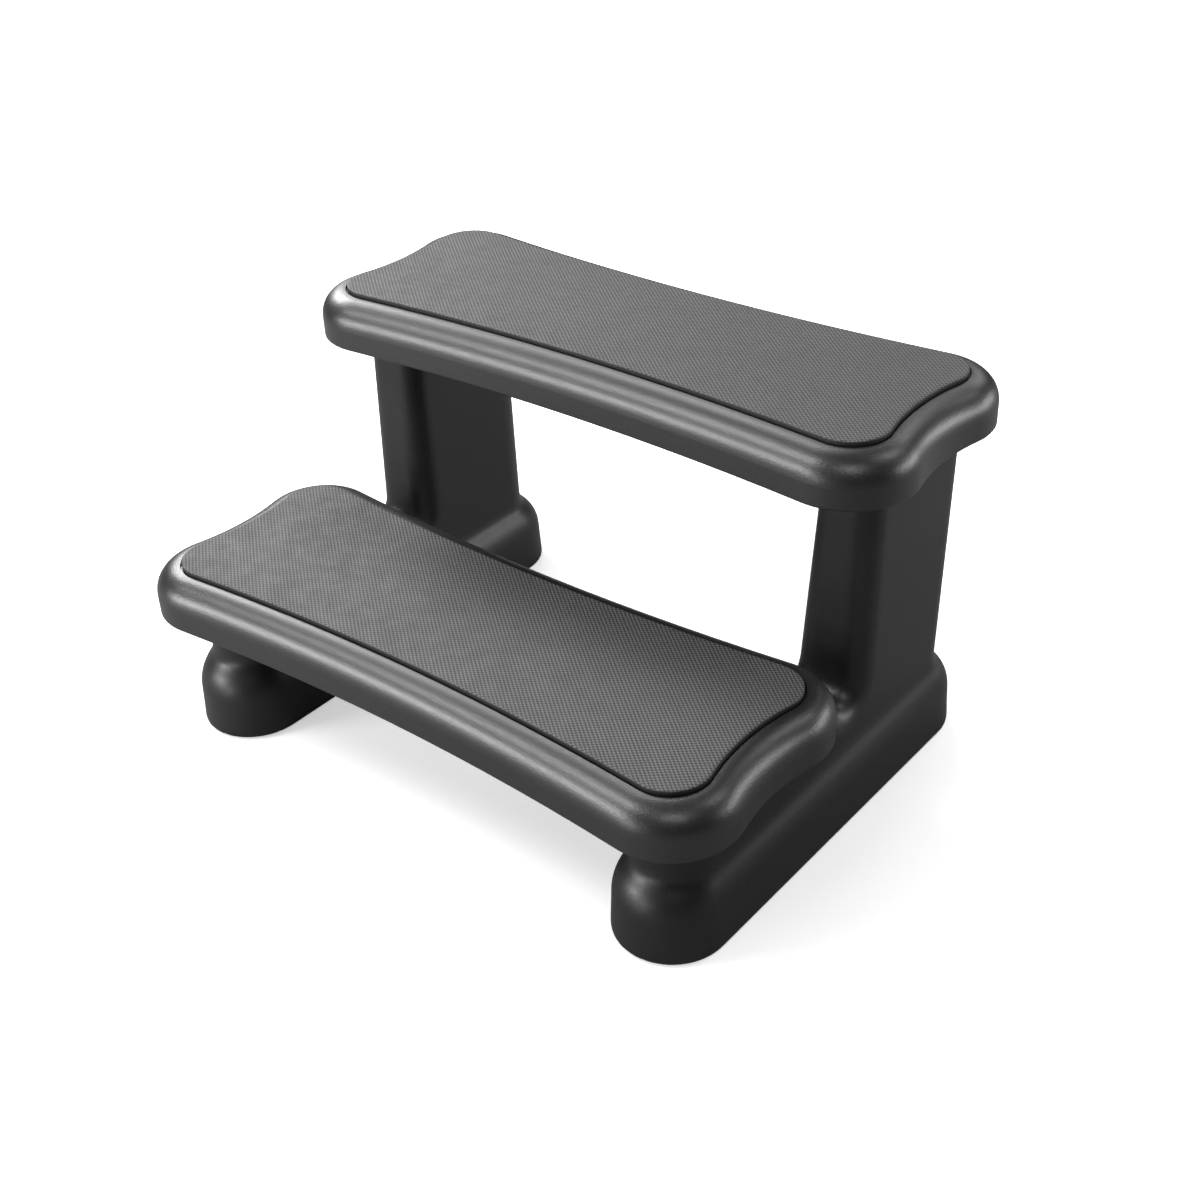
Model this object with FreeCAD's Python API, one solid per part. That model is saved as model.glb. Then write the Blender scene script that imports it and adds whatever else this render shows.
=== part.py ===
import FreeCAD, Part
import math
import os

from FreeCAD import Vector

# Two-step spa steps, millimetres. +Z is up, +Y runs from the lower step to the upper one and +X
# runs along the treads. The origin is on the floor, below the middle of the whole object.

# Heights of the two steps and the distance between them
LOWER_TOP = 172.5               # flat top of the lower tread above the floor
UPPER_TOP = 359.5
RUN = 242.0                     # from the middle of one tread to the middle of the other
TREAD_DEPTH_Z = 44.0            # height of a tread moulding

# Plan shape of the mat: four round corners joined by four gently hollow sides, all tangent
CORNER_X = 259.5                # centre of a corner, from the middle of the tread
CORNER_Y = 62.0
CORNER_RADIUS = 34.0
LONG_SIDE_RADIUS = 2500.0
END_RADIUS = 228.0

# Tread moulding
TREAD_MARGIN = 26.5             # from the mat's edge out to the tread's wall
TOP_ROUND = 24.5
RIM_ROUND = 2.0
TREAD_WALL = 4.0
DECK = 4.5                      # thickness of the deck below the mat
RECESS_DEPTH = 2.5
RECESS_GAP = 1.8                # groove left around the mat
RIB = 3.0
RIB_PITCH_X = 63.6
RIBS_EACH_SIDE_X = 4
RIB_PITCH_Y = 60.0
RIBS_EACH_SIDE_Y = 1

# Mat
MAT_PROUD = 4.5                 # height of the mat above the tread's flat top
MAT_EDGE_ROUND = 1.0

# Side frame: a wide foot rail, a narrower neck above it and a column at the back
FRAME_X = 252.0                 # middle of the foot rail
RAIL_HALF = 49.0
RAIL_FRONT = -223.0
RAIL_BACK = 226.5
RAIL_WALL_TOP = 38.0            # the shoulder begins
SHOULDER_TOP = 82.0             # the shoulder ends and the neck begins
RAIL_DRAFT = 1.8                # how much wider each wall of the rail stands at the sole
SHOULDER_SHARE = 0.66           # part of the shoulder's curve that bulges, the rest is hollow
SHOULDER_STEPS = 8
SHOULDER_INSETS = (13.0, 11.0, 19.0, 21.0)  # of the inner, outer, front and back walls
HEAD_INSETS = (27.5, 10.5, 24.0, 14.0)      # of the same walls at the column's head
SINK = 28.0                     # how far neck and column reach down into the shoulder
SOLE_ROUND = 3.0
LEAST_ROUND = 1.0               # of the same edge inside the wall
COLUMN_FRONT_LOW = 47.0         # the column's front face at the height of the neck
COLUMN_FRONT_HEAD = 53.5
NECK_BACK = -10.0               # from here the neck's top slopes down to the column's foot
SADDLE_Z = 101.0
NECK_ROUND = 26.0               # where the slope begins
SADDLE_RADIUS = 16.0            # where it meets the column
FRAME_EDGE_ROUND = 22.0
FRAME_WALL = 4.0
FRAME_HEAD = 5.0                # thickness of the frame below each tread

# Foot pads
PAD_RADIUS = 28.0
PAD_HEIGHT = 5.0
PAD_PROUD = 1.5
PAD_GAP = 0.3
PAD_CHAMFER = 0.8
PAD_GROOVES = (14.0, 20.0)      # middle radii of the ring grooves in the sole of a pad
PAD_GROOVE_WIDTH = 2.0
PAD_GROOVE_DEPTH = 1.0
PAD_SEAT_MARGIN = 4.0
PAD_SEAT_THICKNESS = 3.5

# Fastenings: M8 button-head screws through the treads into brass inserts in the frames
SCREW_X = 254.5
SCREW_HALF_PITCH_Y = 40.0
BOSS_RADIUS = 13.0
COUNTERBORE_RADIUS = 9.0
COUNTERBORE_DEPTH = 8.0
CLEARANCE_RADIUS = 4.3
THREAD_RADIUS = 3.9
SCREW_LENGTH = 50.0
HEAD_RADIUS = 7.0
HEAD_HEIGHT = 4.4
HEAD_EDGE = 1.2
SOCKET_ACROSS_FLATS = 5.0
SOCKET_DEPTH = 2.6
WASHER_RADIUS = 8.0
WASHER_BORE_RADIUS = 4.2
WASHER_THICKNESS = 1.6
INSERT_RADIUS = 5.9
INSERT_LENGTH = 16.0
INSERT_BORE_RADIUS = 4.0
INSERT_GROOVE_DEPTH = 0.6
INSERT_GROOVE_WIDTH = 2.0
INSERT_HOLE_RADIUS = 6.0
INSERT_HOLE_DEPTH = 16.5
INSERT_BOSS_RADIUS = 11.0
INSERT_BOSS_LENGTH = 21.0

# Worked out from the values above
LOWER_UNDERSIDE = LOWER_TOP - TREAD_DEPTH_Z
UPPER_UNDERSIDE = UPPER_TOP - TREAD_DEPTH_Z
LOWER_Y = -RUN / 2
UPPER_Y = RUN / 2
SOLE = PAD_PROUD                # underside of the frames above the floor
UP = Vector(0, 0, 1)
CUT = 1.0                       # how far a cutter passes the face it cuts
TINY = 1e-4


def point(centre, radius, angle, z):
    return Vector(centre[0] + radius * math.cos(angle), centre[1] + radius * math.sin(angle), z)


def arc(centre, radius, start, end, z):
    middle = (start + end) / 2
    return Part.Arc(*(point(centre, radius, a, z) for a in (start, middle, end))).toShape()


def box(x0, x1, y0, y1, z0, z1):
    return Part.makeBox(x1 - x0, y1 - y0, z1 - z0, Vector(x0, y0, z0))


def cylinder(radius, x, y, z0, z1):
    return Part.makeCylinder(radius, z1 - z0, Vector(x, y, z0), UP)


def extrude(wire, vector):
    return Part.Face(wire).extrude(vector)


def level_edges(shape, z):
    """Edges of the shape that lie wholly at height z."""
    return [e for e in shape.Edges if abs(e.BoundBox.ZMin - z) < TINY and abs(e.BoundBox.ZMax - z) < TINY]


def turned(profile):
    """Solid of revolution about Z of a closed list of (radius, height) points."""
    points = [Vector(r, 0, z) for r, z in profile]
    return Part.Face(Part.makePolygon(points + points[:1])).revolve(Vector(0, 0, 0), UP, 360)


# ---- treads and mats -------------------------------------------------------------------------

def outline(offset, z):
    """Closed outline of eight tangent arcs, a distance `offset` outside the mat's edge."""
    long_reach = LONG_SIDE_RADIUS + CORNER_RADIUS
    end_reach = END_RADIUS + CORNER_RADIUS
    long_angle = math.asin(CORNER_X / long_reach)
    end_angle = math.asin(CORNER_Y / end_reach)
    long_y = CORNER_Y + long_reach * math.cos(long_angle)
    end_x = CORNER_X + end_reach * math.cos(end_angle)
    corner = CORNER_RADIUS + offset
    long_side = LONG_SIDE_RADIUS - offset
    end = END_RADIUS - offset
    quarter, half = math.pi / 2, math.pi
    return Part.Wire([
        arc((CORNER_X, -CORNER_Y), corner, -quarter - long_angle, end_angle, z),
        arc((end_x, 0), end, half + end_angle, half - end_angle, z),
        arc((CORNER_X, CORNER_Y), corner, -end_angle, quarter + long_angle, z),
        arc((0, long_y), long_side, -quarter + long_angle, -quarter - long_angle, z),
        arc((-CORNER_X, CORNER_Y), corner, quarter - long_angle, half + end_angle, z),
        arc((-end_x, 0), end, end_angle, -end_angle, z),
        arc((-CORNER_X, -CORNER_Y), corner, half - end_angle, 3 * quarter + long_angle, z),
        arc((0, -long_y), long_side, quarter + long_angle, quarter - long_angle, z),
    ])


def slab(offset, z0, z1, top_round=0.0, bottom_round=0.0):
    solid = extrude(outline(offset, z0), Vector(0, 0, z1 - z0))
    if top_round:
        solid = solid.makeFillet(top_round, level_edges(solid, z1))
    if bottom_round:
        solid = solid.makeFillet(bottom_round, level_edges(solid, z0))
    return solid


def screw_places():
    """Places of a tread's four screws, from the middle of the tread."""
    return [(side * SCREW_X, end * SCREW_HALF_PITCH_Y) for side in (-1, 1) for end in (-1, 1)]


def tread():
    """One tread with its underside at height 0, middle at the origin."""
    top = TREAD_DEPTH_Z
    reach = CORNER_X + CORNER_RADIUS + TREAD_MARGIN
    outer = slab(TREAD_MARGIN, 0, top, TOP_ROUND, RIM_ROUND)
    ceiling = top - RECESS_DEPTH - DECK
    hollow = slab(TREAD_MARGIN - TREAD_WALL, -CUT, ceiling, TOP_ROUND - TREAD_WALL)
    stiffening = []
    for i in range(-RIBS_EACH_SIDE_X, RIBS_EACH_SIDE_X + 1):
        x = i * RIB_PITCH_X
        stiffening.append(box(x - RIB / 2, x + RIB / 2, -reach, reach, 0, top))
    for i in range(-RIBS_EACH_SIDE_Y, RIBS_EACH_SIDE_Y + 1):
        y = i * RIB_PITCH_Y
        stiffening.append(box(-reach, reach, y - RIB / 2, y + RIB / 2, 0, top))
    stiffening += [cylinder(BOSS_RADIUS, x, y, 0, top) for x, y in screw_places()]
    body = outer.cut(hollow.cut(stiffening))
    floor = top - RECESS_DEPTH
    cutters = [slab(RECESS_GAP, floor, top + CUT)]
    for x, y in screw_places():
        cutters.append(cylinder(COUNTERBORE_RADIUS, x, y, floor - COUNTERBORE_DEPTH, top))
        cutters.append(cylinder(CLEARANCE_RADIUS, x, y, -CUT, top))
    return body.cut(cutters)


def mat():
    """One mat, placed as if its tread's underside were at height 0."""
    floor = TREAD_DEPTH_Z - RECESS_DEPTH
    return slab(0.0, floor, TREAD_DEPTH_Z + MAT_PROUD, MAT_EDGE_ROUND)


# ---- side frames -----------------------------------------------------------------------------

def shoulder_inset(whole, height):
    """How far a wall has moved in at a height above the rail's wall: a bulge, then a hollow."""
    rise = SHOULDER_TOP - RAIL_WALL_TOP
    turn = 2 * math.atan2(whole, rise)
    bulge = SHOULDER_SHARE * rise / math.sin(turn)
    hollow = (1 - SHOULDER_SHARE) * rise / math.sin(turn)
    if height < SHOULDER_SHARE * rise:
        return bulge - math.sqrt(bulge ** 2 - height ** 2)
    left = rise - height
    return whole - hollow + math.sqrt(hollow ** 2 - left ** 2)


def stadium(walls, inset, z):
    """Outline with half-round ends; `walls` are insets from the rail's inner, outer, front and back."""
    inner, outer, front, back = (wall + inset for wall in walls)
    x0, x1 = FRAME_X - RAIL_HALF + inner, FRAME_X + RAIL_HALF - outer
    radius = (x1 - x0) / 2
    front_centre = ((x0 + x1) / 2, RAIL_FRONT + front + radius)
    back_centre = ((x0 + x1) / 2, RAIL_BACK - back - radius)
    return Part.Wire([
        arc(front_centre, radius, -math.pi, 0, z),
        Part.LineSegment(Vector(x1, front_centre[1], z), Vector(x1, back_centre[1], z)).toShape(),
        arc(back_centre, radius, 0, math.pi, z),
        Part.LineSegment(Vector(x0, back_centre[1], z), Vector(x0, front_centre[1], z)).toShape(),
    ])


def rail(inset):
    """The foot rail with its shoulder, every wall moved inwards by `inset`."""
    sole = SOLE + inset
    ends = [stadium((-RAIL_DRAFT,) * 4, inset, sole), stadium((0,) * 4, inset, RAIL_WALL_TOP)]
    base = Part.makeLoft(ends, True, True)
    base = base.makeFillet(max(SOLE_ROUND - inset, LEAST_ROUND), level_edges(base, sole))
    sections = []
    for i in range(SHOULDER_STEPS + 1):
        height = (SHOULDER_TOP - RAIL_WALL_TOP) * i / SHOULDER_STEPS
        walls = [shoulder_inset(whole, height) for whole in SHOULDER_INSETS]
        sections.append(stadium(walls, inset, RAIL_WALL_TOP + height))
    shoulder = Part.makeLoft(sections, True, False)
    return base.fuse(shoulder)


def rounded_path(points, radii):
    """Edges of an open path in the Y-Z plane, with an arc of a given radius at each inner point."""
    edges = []
    start = Vector(0, *points[0])
    for before, corner, after, radius in zip(points, points[1:], points[2:], radii):
        here = Vector(0, *corner)
        back = (Vector(0, *before) - here).normalize()
        ahead = (Vector(0, *after) - here).normalize()
        half = back.getAngle(ahead) / 2
        reach = radius / math.tan(half)
        depth = radius / math.sin(half) - radius
        leave = here + back * reach
        meet = here + ahead * reach
        middle = here + (back + ahead).normalize() * depth
        edges.append(Part.LineSegment(start, leave).toShape())
        edges.append(Part.Arc(leave, middle, meet).toShape())
        start = meet
    edges.append(Part.LineSegment(start, Vector(0, *points[-1])).toShape())
    return edges


def upright_space(inset):
    """Everything above the neck line that isn't frame: over the neck and in front of the column."""
    neck_top = LOWER_UNDERSIDE - (FRAME_HEAD if inset else 0.0)
    slope = (COLUMN_FRONT_HEAD - COLUMN_FRONT_LOW) / (UPPER_UNDERSIDE - LOWER_UNDERSIDE)
    far = RAIL_FRONT - RAIL_HALF
    over = UPPER_UNDERSIDE + CUT

    def face_y(z):
        return COLUMN_FRONT_LOW + inset + slope * (z - LOWER_UNDERSIDE)

    foot_z = SADDLE_Z - inset
    points = [(far, neck_top), (NECK_BACK, neck_top), (face_y(foot_z), foot_z), (face_y(over), over)]
    path = rounded_path(points, (NECK_ROUND - inset, SADDLE_RADIUS + inset))
    corners = [Vector(0, face_y(over), over), Vector(0, far, over), Vector(0, far, neck_top)]
    path += [Part.LineSegment(a, b).toShape() for a, b in zip(corners, corners[1:])]
    solid = extrude(Part.Wire(path), Vector(4 * RAIL_HALF, 0, 0))
    solid.translate(Vector(FRAME_X - 2 * RAIL_HALF, 0, 0))
    return solid


def upper_body(inset):
    """Neck and column together, drafted inwards towards the head."""
    drop = SINK / (UPPER_UNDERSIDE - SHOULDER_TOP)
    foot = [low - (high - low) * drop for low, high in zip(SHOULDER_INSETS, HEAD_INSETS)]
    sections = [stadium(foot, inset, SHOULDER_TOP - SINK), stadium(HEAD_INSETS, inset, UPPER_UNDERSIDE)]
    space = upright_space(inset)
    body = Part.makeLoft(sections, True, True).cut(space)
    edges = [e for e in body.Edges if is_shoulder_edge(e, space)]
    body = body.makeFillet(FRAME_EDGE_ROUND - inset, edges)
    if inset:
        body = body.cut(box(0, 2 * FRAME_X, RAIL_FRONT, RAIL_BACK, UPPER_UNDERSIDE - FRAME_HEAD, UPPER_TOP))
    return body


def is_shoulder_edge(edge, space):
    """True for the long edges that the cut over the neck and before the column leaves."""
    middle = edge.valueAt((edge.FirstParameter + edge.LastParameter) / 2)
    across = edge.BoundBox.YLength < TINY and edge.BoundBox.ZLength < TINY
    on_cut = space.distToShape(Part.Vertex(middle))[0] < TINY
    return on_cut and not across


def right_frame():
    outer = rail(0.0).fuse(upper_body(0.0)).removeSplitter()
    hollow = rail(FRAME_WALL).fuse(upper_body(FRAME_WALL)).removeSplitter()
    kept = []
    for y in pad_places():
        seat_top = SOLE + PAD_HEIGHT - PAD_PROUD + PAD_SEAT_THICKNESS
        kept.append(cylinder(PAD_RADIUS + PAD_SEAT_MARGIN, FRAME_X, y, SOLE, seat_top))
    for y, z in insert_places():
        kept.append(cylinder(INSERT_BOSS_RADIUS, SCREW_X, y, z - INSERT_BOSS_LENGTH, z))
    body = outer.cut(hollow.cut(kept))
    cutters = []
    for y in pad_places():
        cutters.append(cylinder(PAD_RADIUS + PAD_GAP, FRAME_X, y, SOLE - CUT, PAD_HEIGHT))
    for y, z in insert_places():
        cutters.append(cylinder(INSERT_HOLE_RADIUS, SCREW_X, y, z - INSERT_HOLE_DEPTH, z + CUT))
    return body.cut(cutters)


def pad_places():
    return (RAIL_FRONT + RAIL_HALF, RAIL_BACK - RAIL_HALF)


def insert_places():
    """(y, z) of the mouth of each insert: two under the lower tread, two under the upper one."""
    places = []
    for middle, z in ((LOWER_Y, LOWER_UNDERSIDE), (UPPER_Y, UPPER_UNDERSIDE)):
        places += [(middle + end * SCREW_HALF_PITCH_Y, z) for end in (-1, 1)]
    return places


# ---- foot pads and fastenings ----------------------------------------------------------------

def foot_pad():
    """A rubber disc standing on height 0, with ring grooves in its sole."""
    pad = cylinder(PAD_RADIUS, 0, 0, 0, PAD_HEIGHT)
    pad = pad.makeChamfer(PAD_CHAMFER, level_edges(pad, 0))
    for middle in PAD_GROOVES:
        outer = cylinder(middle + PAD_GROOVE_WIDTH / 2, 0, 0, -CUT, PAD_GROOVE_DEPTH)
        inner = cylinder(middle - PAD_GROOVE_WIDTH / 2, 0, 0, -CUT, PAD_GROOVE_DEPTH)
        pad = pad.cut(outer.cut(inner))
    return pad


def screw():
    """Button-head screw, the underside of its head at height 0."""
    head = cylinder(HEAD_RADIUS, 0, 0, 0, HEAD_HEIGHT)
    head = head.makeFillet(HEAD_HEIGHT - HEAD_EDGE, level_edges(head, HEAD_HEIGHT))
    corner = SOCKET_ACROSS_FLATS / math.sqrt(3)
    corners = [point((0, 0), corner, i * math.pi / 3, HEAD_HEIGHT - SOCKET_DEPTH) for i in range(7)]
    socket = extrude(Part.makePolygon(corners), Vector(0, 0, SOCKET_DEPTH + CUT))
    thread = cylinder(THREAD_RADIUS, 0, 0, -SCREW_LENGTH, CUT)
    thread = thread.makeChamfer(CUT, level_edges(thread, -SCREW_LENGTH))
    return head.fuse(thread).cut(socket)


def washer():
    """Flat washer standing on height 0."""
    ring = cylinder(WASHER_RADIUS, 0, 0, 0, WASHER_THICKNESS)
    return ring.cut(cylinder(WASHER_BORE_RADIUS, 0, 0, -CUT, WASHER_THICKNESS + CUT))


def insert():
    """Threaded insert hanging from height 0, with two grooves that hold it in the plastic."""
    bore, skin = INSERT_BORE_RADIUS, INSERT_RADIUS
    waist = skin - INSERT_GROOVE_DEPTH
    profile = [(bore, -INSERT_LENGTH), (skin, -INSERT_LENGTH)]
    for middle in (-INSERT_LENGTH * 2 / 3, -INSERT_LENGTH / 3):
        low, high = middle - INSERT_GROOVE_WIDTH / 2, middle + INSERT_GROOVE_WIDTH / 2
        profile += [(skin, low), (waist, low), (waist, high), (skin, high)]
    profile += [(skin, 0), (bore, 0)]
    return turned(profile)


# ---- assembly --------------------------------------------------------------------------------

def placed(shape, x, y, z):
    copy = shape.copy()
    copy.translate(Vector(x, y, z))
    return copy


def group(shape, places):
    return Part.makeCompound([placed(shape, *place) for place in places])


def assembly():
    nodes = {}
    one_tread, one_mat = tread(), mat()
    one_screw, one_washer, one_insert, one_pad = screw(), washer(), insert(), foot_pad()
    seat = TREAD_DEPTH_Z - RECESS_DEPTH - COUNTERBORE_DEPTH
    frame = right_frame()
    nodes["right_side_frame"] = frame
    nodes["left_side_frame"] = frame.mirror(Vector(0, 0, 0), Vector(1, 0, 0))
    for step, middle, underside in (("lower", LOWER_Y, LOWER_UNDERSIDE), ("upper", UPPER_Y, UPPER_UNDERSIDE)):
        nodes[step + "_tread"] = placed(one_tread, 0, middle, underside)
        nodes[step + "_mat"] = placed(one_mat, 0, middle, underside)
        for side, sign in (("left", -1), ("right", 1)):
            name = step + "_" + side
            spots = [(sign * SCREW_X, middle + end * SCREW_HALF_PITCH_Y) for end in (-1, 1)]
            washer_z = underside + seat
            head_z = washer_z + WASHER_THICKNESS
            nodes[name + "_screws"] = group(one_screw, [(x, y, head_z) for x, y in spots])
            nodes[name + "_washers"] = group(one_washer, [(x, y, washer_z) for x, y in spots])
            nodes[name + "_inserts"] = group(one_insert, [(x, y, underside) for x, y in spots])
    for end, y in zip(("front", "rear"), pad_places()):
        for side, sign in (("left", -1), ("right", 1)):
            nodes[end + "_" + side + "_foot_pad"] = placed(one_pad, sign * FRAME_X, y, 0)
    return nodes


os.makedirs("parts", exist_ok=True)
for node, shape in assembly().items():
    shape.exportStep("parts/" + node + ".step")
    print(node, "valid" if shape.isValid() else "NOT VALID", len(shape.Solids), "solid(s)",
          round(shape.Volume / 1000, 1), "cm3")
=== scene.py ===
import math

import bmesh
import bpy
import numpy as np
from mathutils import Matrix, Vector
from mathutils.geometry import delaunay_2d_cdt


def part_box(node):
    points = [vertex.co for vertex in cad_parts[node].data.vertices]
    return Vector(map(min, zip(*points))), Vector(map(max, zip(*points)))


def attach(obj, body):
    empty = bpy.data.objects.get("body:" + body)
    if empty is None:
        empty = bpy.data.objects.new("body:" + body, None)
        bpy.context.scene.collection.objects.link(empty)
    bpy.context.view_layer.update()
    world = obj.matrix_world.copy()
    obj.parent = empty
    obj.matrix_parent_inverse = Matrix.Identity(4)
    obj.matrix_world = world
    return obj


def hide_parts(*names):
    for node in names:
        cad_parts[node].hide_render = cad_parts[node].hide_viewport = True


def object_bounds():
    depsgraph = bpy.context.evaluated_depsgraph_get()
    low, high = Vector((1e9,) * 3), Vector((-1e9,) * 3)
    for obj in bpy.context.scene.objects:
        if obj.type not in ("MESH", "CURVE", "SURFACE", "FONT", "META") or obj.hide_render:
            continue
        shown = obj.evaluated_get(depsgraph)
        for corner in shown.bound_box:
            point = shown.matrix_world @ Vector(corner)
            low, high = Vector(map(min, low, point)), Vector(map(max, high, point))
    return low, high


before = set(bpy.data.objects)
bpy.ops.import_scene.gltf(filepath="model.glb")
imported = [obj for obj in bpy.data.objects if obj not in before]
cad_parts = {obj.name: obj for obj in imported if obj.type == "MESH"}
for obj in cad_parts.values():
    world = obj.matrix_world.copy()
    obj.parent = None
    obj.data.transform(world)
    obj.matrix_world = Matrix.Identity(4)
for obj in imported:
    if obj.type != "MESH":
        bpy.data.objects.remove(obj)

# Two-step spa steps, metres. +Z is up, +Y runs from the lower step to the upper one, +X along the
# treads. Every place comes from the boxes of the CAD nodes.

CAD_LOW, CAD_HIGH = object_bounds()
MM = 0.001
BODY = "root"
QUARTER = math.pi / 2                   # turns, in radians
HALF = math.pi

# Mat: the plan of its edge is eight tangent arcs
MAT_CORNER = (259.5 * MM, 62.0 * MM)    # centre of a corner arc, from the middle of the mat
MAT_CORNER_RADIUS = 34.0 * MM
MAT_SIDE_RADIUS = 2500.0 * MM
MAT_END_RADIUS = 228.0 * MM
ARC_STEP = 2.0 * MM
EDGE_ROUND = 1.0 * MM
EDGE_TURNS = 3                          # rings that make the rounded edge
RIM_BAND = 1.6 * MM                     # plain band inside the mat's edge

# Mat: dots
DOT_HEIGHT = 0.6 * MM
DOT_PITCH_X = 4.88 * MM
DOT_PITCH_Y = 4.0 * MM
DOT_SAMPLES = 4                         # grid points from one dot to the next
DOT_LEVEL = 0.5                         # height halfway between a dot and a hollow, of DOT_HEIGHT
DOT_STEEPNESS = 0.75
CDT_INSIDE = 1                          # delaunay_2d_cdt keeps the triangles inside the outline
CDT_EPSILON = 1e-7

# Mat: colour
MAT_PALE = 0.145
# painted shade: the darker colour in the hollows between the dots
MAT_HOLLOW_SHADE = 0.022
# painted shade: the dark colour of the mat's side walls, wherever the surface faces sideways
MAT_EDGE_SHADE = 0.02
MAT_GLOSS = 0.6

# Side frames
WELD = 0.01 * MM
VOXEL = 2.0 * MM
SMOOTH_FACTOR = 0.5
SMOOTH_PASSES = 8                       # they soften the valleys over about 4 mm

# Camera
AZIMUTH = 39.961
ELEVATION = 32.818
ROLL = -2.449
DISTANCE = 1.5338
LENS = 50.68
SENSOR = 36.0
AIM_RIGHT = 0.0335                      # the camera's aim, from the middle of the object
AIM_UP = -0.0453

# Studio
FLOOR_HALF_SIZE = 6.0
FLOOR_SEEN_BY_OBJECT = 0.3
FLOOR_GLOW = 0.50                       # near the object
FLOOR_FADE = (0.32, 0.60)               # the glow rises to white over this distance from the middle
FLOOR_PAINT = 0.85
ROOM = 0.03
LIGHT_DISTANCE = 2.2
LIGHT_AIM = Vector((0, 0, 0.2))
SOFTBOXES = [                           # name, azimuth, elevation, width, height, radiance
    ("key_left", -108, 30, 0.85, 0.50, 24.0),
    ("key_front_left", -36, 14, 0.80, 0.42, 24.0),
    ("high_front_left", -45, 50, 0.75, 0.60, 15.5),
    ("low_front", -12, 3, 0.80, 0.30, 9.5),
    ("high_back_left", -135, 50, 0.75, 0.60, 9.0),
    ("high_right", 45, 50, 0.75, 0.60, 5.7),
    ("back", 180, 30, 0.85, 0.50, 3.5),
    ("low_back_right", 132, 10, 1.60, 0.42, 8.0),
    ("high_back_right", 135, 50, 0.75, 0.60, 4.5),
]


# ---- node helpers ----------------------------------------------------------------------------

class Graph:
    """A material being built: add() makes a node, join() links two sockets."""

    def __init__(self, name):
        self.material = bpy.data.materials.new(name)
        self.material.use_nodes = True
        self.tree = self.material.node_tree
        self.tree.nodes.clear()
        self.output = self.add("ShaderNodeOutputMaterial")
        self.shader = self.add("ShaderNodeBsdfPrincipled")
        self.join(self.shader, "BSDF", self.output, "Surface")
        self.place = self.add("ShaderNodeTexCoord")

    def add(self, kind, inputs=(), **settings):
        node = self.tree.nodes.new(kind)
        for key, value in settings.items():
            setattr(node, key, value)
        for key, value in dict(inputs).items():
            node.inputs[key].default_value = value
        return node

    def join(self, source, out, target, into):
        self.tree.links.new(source.outputs[out], target.inputs[into])

    def pattern(self, kind, inputs, **settings):
        """A texture node in object space."""
        node = self.add(kind, inputs, **settings)
        self.join(self.place, "Object", node, "Vector")
        return node

    def noise(self, scale, detail=2.0, roughness=0.5):
        inputs = {"Scale": scale, "Detail": detail, "Roughness": roughness}
        return self.pattern("ShaderNodeTexNoise", inputs)

    def cells(self, scale):
        return self.pattern("ShaderNodeTexVoronoi", {"Scale": scale}, feature="SMOOTH_F1")

    def spread(self, source, out, low, high, from_low=0.3, from_high=0.7):
        """A value stretched from one range to another."""
        node = self.add("ShaderNodeMapRange", {"From Min": from_low, "From Max": from_high,
                                               "To Min": low, "To Max": high})
        self.join(source, out, node, "Value")
        return node

    def tint(self, source, out, dark, light, low=0.3, high=0.7):
        """A colour between two others."""
        node = self.add("ShaderNodeValToRGB")
        first, last = node.color_ramp.elements
        first.position, first.color = low, (*dark, 1.0)
        last.position, last.color = high, (*light, 1.0)
        self.join(source, out, node, "Fac")
        return node

    def maths(self, operation, first, first_out, second, second_out=None):
        """A Math node of two links, or of a link and a number."""
        node = self.add("ShaderNodeMath", operation=operation)
        self.join(first, first_out, node, 0)
        if second_out:
            self.join(second, second_out, node, 1)
        else:
            node.inputs[1].default_value = second
        return node

    def wave(self, axes, axis, pitch):
        """Cosine along one axis, with its crests a pitch apart."""
        turn = self.maths("MULTIPLY", axes, axis, 2 * math.pi / pitch)
        return self.maths("COSINE", turn, "Value", 0.0)

    def mix(self, factor, out, plain, coloured):
        """From a plain colour to another node's colour."""
        node = self.add("ShaderNodeMixRGB", {"Color1": (*plain, 1.0)})
        self.join(factor, out, node, "Fac")
        self.join(coloured, "Color", node, "Color2")
        return node

    def bump(self, source, out, strength, distance, below=None):
        node = self.add("ShaderNodeBump", {"Strength": strength, "Distance": distance})
        self.join(source, out, node, "Height")
        if below:
            self.join(below, "Normal", node, "Normal")
        return node

    def colour(self, source):
        self.join(source, "Color", self.shader, "Base Color")

    def roughness(self, source, low, high):
        self.join(self.spread(source, "Fac", low, high), "Result", self.shader, "Roughness")

    def relief(self, source):
        self.join(source, "Normal", self.shader, "Normal")

    def fixed(self, socket, value):
        """A number that is the same all over the surface."""
        self.shader.inputs[socket].default_value = value


def grey(value, blue=1.0):
    return (value, value, value * blue)


# ---- materials -------------------------------------------------------------------------------

def moulded_plastic(name, base, mottle, roughness, grain_scale, grain_depth, specular):
    """Satin moulded plastic: fine pebbled grain, a slight mottle and uneven gloss."""
    g = Graph(name)
    dark, light = grey(base * (1 - mottle), 1.02), grey(base * (1 + mottle), 1.03)
    g.colour(g.tint(g.noise(scale=9.0, detail=3.0), "Fac", dark, light))
    g.roughness(g.noise(scale=240.0), roughness - 0.01, roughness + 0.02)
    pebbles = g.bump(g.cells(grain_scale), "Distance", strength=0.5, distance=grain_depth)
    finer = g.noise(scale=grain_scale * 1.7)
    g.relief(g.bump(finer, "Fac", strength=0.35, distance=grain_depth * 0.6, below=pebbles))
    g.fixed("Specular IOR Level", specular)
    return g.material


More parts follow.
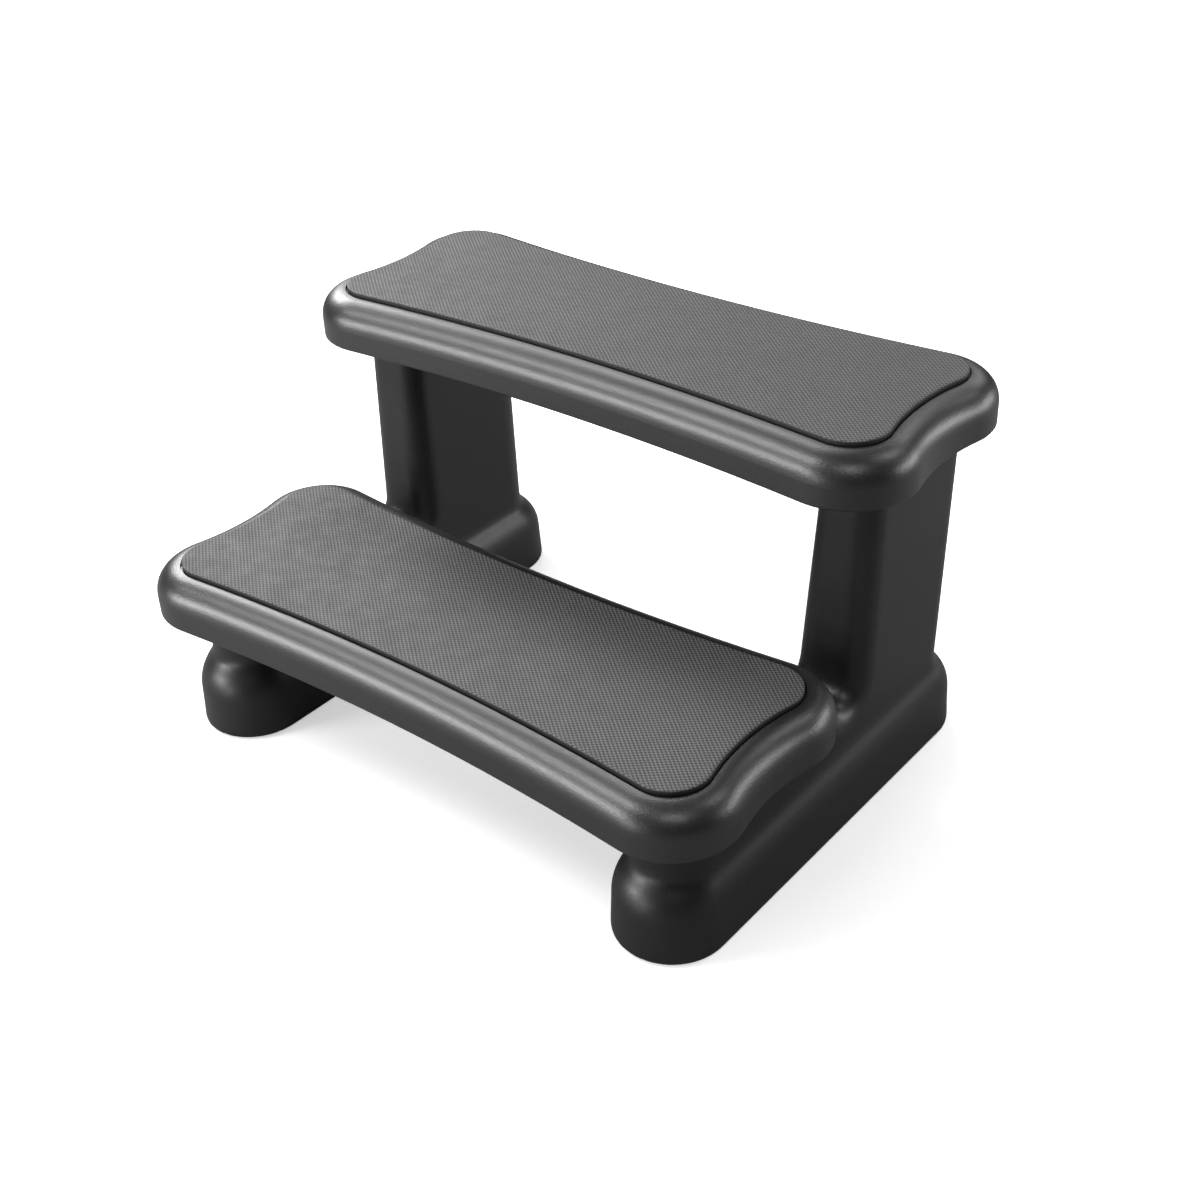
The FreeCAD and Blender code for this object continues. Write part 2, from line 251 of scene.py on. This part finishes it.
def mat_rubber(name):
    """Grey rubber: pale on the tops of the dots, with painted shade in the hollows between them and
    on the mat's side walls.
    """
    g = Graph(name)
    axes = g.add("ShaderNodeSeparateXYZ")
    g.join(g.place, "Object", axes, "Vector")
    along = g.wave(axes, "X", DOT_PITCH_X)
    across = g.wave(axes, "Y", DOT_PITCH_Y)
    dots = g.maths("MULTIPLY", along, "Value", across, "Value")
    height = g.spread(dots, "Value", 0.0, 1.0, from_low=-0.7, from_high=0.7)
    mottle = g.noise(scale=14.0, detail=4.0, roughness=0.6)
    pale = g.tint(mottle, "Fac", grey(MAT_PALE * 0.94, 1.01), grey(MAT_PALE * 1.06, 1.01))
    # the hollows between the dots get a darker colour, a painted shade
    dots_with_hollow_shade = g.mix(height, "Result", grey(MAT_HOLLOW_SHADE, 1.01), pale)
    surface = g.add("ShaderNodeNewGeometry")
    facing = g.add("ShaderNodeSeparateXYZ")
    g.join(surface, "Normal", facing, "Vector")
    # surfaces that face sideways, the mat's edge, get a dark colour, a painted shade
    top = g.spread(facing, "Z", 0.0, 1.0, from_low=0.45, from_high=0.9)
    g.colour(g.mix(top, "Result", grey(MAT_EDGE_SHADE, 1.01), dots_with_hollow_shade))
    g.roughness(g.noise(scale=70.0, detail=3.0), 0.62, 0.74)
    g.relief(g.bump(g.noise(scale=1800.0), "Fac", strength=0.25, distance=0.2 * MM))
    g.fixed("Specular IOR Level", MAT_GLOSS)
    return g.material


def black_rubber(name):
    g = Graph(name)
    mottle = g.noise(scale=60.0, detail=4.0)
    g.colour(g.tint(mottle, "Fac", grey(0.010), grey(0.018)))
    g.roughness(mottle, 0.6, 0.75)
    skin = g.noise(scale=900.0, detail=3.0)
    g.relief(g.bump(skin, "Fac", strength=0.3, distance=0.3 * MM))
    return g.material


def turned_metal(name, dark, light, roughness):
    g = Graph(name)
    g.fixed("Metallic", 1.0)
    mottle = g.noise(scale=180.0, detail=3.0)
    g.colour(g.tint(mottle, "Fac", dark, light))
    g.roughness(mottle, roughness, roughness + 0.12)
    turning = g.pattern("ShaderNodeTexWave", {"Scale": 900.0, "Distortion": 1.0},
                        bands_direction="Z")
    g.relief(g.bump(turning, "Fac", strength=0.15, distance=0.05 * MM))
    return g.material


def floor_paint(name):
    """Matt pale paint under a painted glow that only the camera sees: the glow whitens the floor
    and washes out shadows far from the object, and is lower near it so that its shadows show there;
    the object sees the paint dim.
    """
    g = Graph(name)
    dim = FLOOR_SEEN_BY_OBJECT
    g.colour(g.tint(g.noise(scale=1.2), "Fac", grey(dim), grey(dim + 0.01)))
    g.fixed("Roughness", 0.9)
    g.fixed("Specular IOR Level", 0.0)
    away = g.add("ShaderNodeVectorMath", operation="LENGTH")
    g.join(g.place, "Object", away, 0)
    # painted light: the floor glows, less near the object and white further out
    glow = g.add("ShaderNodeEmission")
    g.join(g.spread(away, "Value", FLOOR_GLOW, 1.0, *FLOOR_FADE), "Result", glow, "Strength")
    matt = g.add("ShaderNodeBsdfDiffuse", {"Color": (*grey(FLOOR_PAINT), 1.0)})
    lit = g.add("ShaderNodeAddShader")
    g.join(glow, "Emission", lit, 0)
    g.join(matt, "BSDF", lit, 1)
    path = g.add("ShaderNodeLightPath")
    choice = g.add("ShaderNodeMixShader")
    g.join(path, "Is Camera Ray", choice, "Fac")
    g.join(g.shader, "BSDF", choice, 1)
    g.join(lit, "Shader", choice, 2)
    g.join(choice, "Shader", g.output, "Surface")
    return g.material


# ---- new pieces ------------------------------------------------------------------------------

def link(name, data):
    item = bpy.data.objects.new(name, data)
    bpy.context.scene.collection.objects.link(item)
    return item


def take_place(name, mesh, material, node):
    """A new piece of one material, in the place of a CAD node."""
    mesh.materials.clear()
    mesh.materials.append(material)
    mesh.shade_smooth()
    piece = link(name, mesh)
    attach(piece, BODY)
    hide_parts(node)


# ---- mats ------------------------------------------------------------------------------------

def arc_points(centre, radius, start, end):
    """Points along an arc, without its last one."""
    count = max(3, int(abs(end - start) * radius / ARC_STEP))
    turn = np.linspace(start, end, count, endpoint=False)
    return np.c_[centre[0] + radius * np.cos(turn), centre[1] + radius * np.sin(turn)]


def outline(offset):
    """Closed outline of eight tangent arcs, a distance `offset` outside the mat's edge."""
    corner_x, corner_y = MAT_CORNER
    side_reach = MAT_SIDE_RADIUS + MAT_CORNER_RADIUS
    end_reach = MAT_END_RADIUS + MAT_CORNER_RADIUS
    tilt = math.asin(corner_x / side_reach)
    lean = math.asin(corner_y / end_reach)
    side_y = corner_y + side_reach * math.cos(tilt)
    end_x = corner_x + end_reach * math.cos(lean)
    corner = MAT_CORNER_RADIUS + offset
    side = MAT_SIDE_RADIUS - offset
    end = MAT_END_RADIUS - offset
    arcs = [
        ((corner_x, -corner_y), corner, -QUARTER - tilt, lean),
        ((end_x, 0), end, HALF + lean, HALF - lean),
        ((corner_x, corner_y), corner, -lean, QUARTER + tilt),
        ((0, side_y), side, -QUARTER + tilt, -QUARTER - tilt),
        ((-corner_x, corner_y), corner, QUARTER - tilt, HALF + lean),
        ((-end_x, 0), end, lean, -lean),
        ((-corner_x, -corner_y), corner, HALF - lean, 3 * QUARTER + tilt),
        ((0, -side_y), side, QUARTER + tilt, QUARTER - tilt),
    ]
    return np.vstack([arc_points(*arc) for arc in arcs])


def inside(points, loop):
    """True for each point that lies within the closed loop."""
    result = np.zeros(len(points), bool)
    x, y = points[:, 0], points[:, 1]
    for (x0, y0), (x1, y1) in zip(loop, np.roll(loop, -1, axis=0)):
        if y1 != y0:
            crosses = (y0 > y) != (y1 > y)
            result ^= crosses & (x < x0 + (y - y0) * (x1 - x0) / (y1 - y0))
    return result


def lattice(low, high, pitch, middle):
    """Grid lines across one axis of the mat, counted from the origin and given from its middle."""
    step = pitch / DOT_SAMPLES
    return np.arange(math.ceil(low / step), math.floor(high / step) + 1) * step - middle


def dot_grid(low, high, middle):
    """Grid points of the mat's top, inside its plain rim band."""
    x, y = np.meshgrid(lattice(low.x, high.x, DOT_PITCH_X, middle.x),
                       lattice(low.y, high.y, DOT_PITCH_Y, middle.y))
    grid = np.c_[x.ravel(), y.ravel()]
    return grid[inside(grid, outline(-RIM_BAND))]


def dot_rise(grid, middle):
    """Height of the staggered dots at each grid point."""
    wave_x = np.cos(2 * math.pi * (grid[:, 0] + middle.x) / DOT_PITCH_X)
    wave_y = np.cos(2 * math.pi * (grid[:, 1] + middle.y) / DOT_PITCH_Y)
    return DOT_HEIGHT * np.clip(DOT_LEVEL + DOT_STEEPNESS * (wave_x * wave_y), 0.0, 1.0)


def pushed_out(rim, distance):
    """The rim loop moved outwards."""
    ahead = np.roll(rim, -1, axis=0) - np.roll(rim, 1, axis=0)
    ahead /= np.linalg.norm(ahead, axis=1)[:, None]
    return rim + np.c_[ahead[:, 1], -ahead[:, 0]] * distance


def add_ring(points, faces, ring, shape, middle, z):
    """A new ring of points, joined to the last one by a band of faces."""
    start = len(points)
    points.extend((middle.x + x, middle.y + y, z) for x, y in shape)
    new = list(range(start, start + len(shape)))
    for i in range(len(ring)):
        j = (i + 1) % len(ring)
        faces.append([ring[i], new[i], new[j], ring[j]])
    return new


def dotted_mat(name, node, material):
    """The mat with its staggered dots, in the place of the plain CAD mat."""
    low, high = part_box(node)
    middle = (low + high) / 2
    base = high.z - DOT_HEIGHT
    rim = outline(-EDGE_ROUND)
    grid = dot_grid(low, high, middle)
    rise = np.r_[np.zeros(len(rim)), dot_rise(grid, middle)]
    plan, _, triangles, origins, *_ = delaunay_2d_cdt(
        [Vector(p) for p in np.vstack([rim, grid])], [], [list(range(len(rim)))],
        CDT_INSIDE, CDT_EPSILON)
    points = [(middle.x + p.x, middle.y + p.y, base + rise[origin[0]])
              for p, origin in zip(plan, origins)]
    faces = [list(triangle) for triangle in triangles]
    place_of = {origin[0]: i for i, origin in enumerate(origins)}
    ring = [place_of[i] for i in range(len(rim))]
    for k in range(1, EDGE_TURNS + 1):
        angle = QUARTER * k / EDGE_TURNS
        shape = pushed_out(rim, EDGE_ROUND * math.sin(angle))
        drop = EDGE_ROUND * (1 - math.cos(angle))
        ring = add_ring(points, faces, ring, shape, middle, base - drop)
    ring = add_ring(points, faces, ring, pushed_out(rim, EDGE_ROUND), middle, low.z)
    faces.append(ring[::-1])
    mesh = bpy.data.meshes.new(name)
    mesh.from_pydata(points, [], faces)
    mesh.validate()
    take_place(name, mesh, material, node)


# ---- side frames -----------------------------------------------------------------------------

def shells_of(shape):
    """The sets of connected vertices of a mesh."""
    unseen = set(shape.verts)
    while unseen:
        shell, front = set(), [unseen.pop()]
        while front:
            vertex = front.pop()
            shell.add(vertex)
            for edge in vertex.link_edges:
                other = edge.other_vert(vertex)
                if other in unseen:
                    unseen.remove(other)
                    front.append(other)
        yield shell


def height_of(shell):
    levels = [vertex.co.z for vertex in shell]
    return max(levels) - min(levels)


def outer_shell(source):
    """A copy of a closed mesh without the walls of its inner void."""
    shape = bmesh.new()
    shape.from_mesh(source)
    bmesh.ops.remove_doubles(shape, verts=shape.verts, dist=WELD)
    outer = max(shells_of(shape), key=height_of)
    bmesh.ops.delete(shape, geom=[v for v in shape.verts if v not in outer], context="VERTS")
    mesh = bpy.data.meshes.new(source.name + "_outer")
    shape.to_mesh(mesh)
    shape.free()
    return mesh


def soft_frame(node, material):
    """The blown side frame with the soft valleys of its moulding, in the place of the CAD frame."""
    draft = link(node + "_draft", outer_shell(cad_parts[node].data))
    remesh = draft.modifiers.new("voxels", "REMESH")
    remesh.mode = "VOXEL"
    remesh.voxel_size = VOXEL
    smooth = draft.modifiers.new("soften", "SMOOTH")
    smooth.factor = SMOOTH_FACTOR
    smooth.iterations = SMOOTH_PASSES
    ready = draft.evaluated_get(bpy.context.evaluated_depsgraph_get())
    mesh = bpy.data.meshes.new_from_object(ready)
    bpy.data.objects.remove(draft, do_unlink=True)
    take_place(node + "_moulding", mesh, material, node)


# ---- the whole object ------------------------------------------------------------------------

def dress(node, material):
    """One material all over a CAD node."""
    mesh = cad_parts[node].data
    mesh.materials.clear()
    mesh.materials.append(material)
    for polygon in mesh.polygons:
        polygon.material_index = 0


def dress_all():
    tread = moulded_plastic("tread_plastic", base=0.016, mottle=0.06, roughness=0.39,
                            grain_scale=700.0, grain_depth=0.22 * MM, specular=0.88)
    side = moulded_plastic("frame_plastic", base=0.014, mottle=0.08, roughness=0.41,
                           grain_scale=1000.0, grain_depth=0.1 * MM, specular=0.55)
    steel = turned_metal("stainless_steel", grey(0.5), grey(0.6), 0.25)
    brass = turned_metal("insert_brass", (0.55, 0.40, 0.17), (0.66, 0.5, 0.24), 0.3)
    pad = black_rubber("pad_rubber")
    endings = {"_tread": tread, "_side_frame": side, "_screws": steel, "_washers": steel,
               "_inserts": brass, "_foot_pad": pad}
    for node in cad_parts:
        for ending, material in endings.items():
            if node.endswith(ending):
                dress(node, material)
    for node in ("left_side_frame", "right_side_frame"):
        soft_frame(node, side)
    rubber = mat_rubber("mat_rubber")
    for step in ("lower", "upper"):
        dotted_mat(step + "_dotted_mat", step + "_mat", rubber)


# ---- studio ----------------------------------------------------------------------------------

def direction(azimuth, elevation):
    """Unit vector towards an azimuth (0 is in front, positive to the right) and elevation."""
    a, e = math.radians(azimuth), math.radians(elevation)
    return Vector((math.sin(a) * math.cos(e), -math.cos(a) * math.cos(e), math.sin(e)))


def make_floor():
    r = FLOOR_HALF_SIZE
    mesh = bpy.data.meshes.new("studio_floor")
    mesh.from_pydata([(-r, -r, 0), (r, -r, 0), (r, r, 0), (-r, r, 0)], [], [(0, 1, 2, 3)])
    mesh.materials.append(floor_paint("floor_paint"))
    floor = link("studio_floor", mesh)


def soft_light(name, azimuth, elevation, width, height, radiance):
    """A rectangular softbox that faces the object."""
    lamp = bpy.data.lights.new(name, "AREA")
    lamp.shape = "RECTANGLE"
    lamp.size, lamp.size_y = width, height
    lamp.energy = radiance * math.pi * width * height
    back = direction(azimuth, elevation)
    light = link(name, lamp)
    light.location = LIGHT_AIM + back * LIGHT_DISTANCE
    light.rotation_mode = "QUATERNION"
    light.rotation_quaternion = (-back).to_track_quat("-Z", "Y")


def make_world():
    """A dim room that the camera sees as white."""
    world = bpy.data.worlds.new("studio")
    bpy.context.scene.world = world
    world.use_nodes = True
    tree = world.node_tree
    background = tree.nodes["Background"]
    background.inputs["Color"].default_value = (1.0, 1.0, 1.0, 1.0)
    path = tree.nodes.new("ShaderNodeLightPath")
    level = tree.nodes.new("ShaderNodeMapRange")
    level.inputs["To Min"].default_value = ROOM
    level.inputs["To Max"].default_value = 1.0
    tree.links.new(path.outputs["Is Camera Ray"], level.inputs["Value"])
    tree.links.new(level.outputs["Result"], background.inputs["Strength"])


def make_camera():
    data = bpy.data.cameras.new("camera")
    data.lens = LENS
    data.sensor_width = SENSOR
    azimuth, roll = math.radians(AZIMUTH), math.radians(ROLL)
    back = direction(AZIMUTH, ELEVATION)
    right = Vector((math.cos(azimuth), math.sin(azimuth), 0))
    up = back.cross(right)
    rolled_right = right * math.cos(roll) + up * math.sin(roll)
    rolled_up = up * math.cos(roll) - right * math.sin(roll)
    aim = (CAD_LOW + CAD_HIGH) / 2 + right * AIM_RIGHT + up * AIM_UP
    turn = Matrix((rolled_right, rolled_up, back)).transposed()
    camera = link("camera", data)
    camera.matrix_world = Matrix.Translation(aim + back * DISTANCE) @ turn.to_4x4()
    bpy.context.scene.camera = camera


dress_all()
make_floor()
for softbox in SOFTBOXES:
    soft_light(*softbox)
make_world()
make_camera()
bpy.context.scene.view_settings.view_transform = "Standard"
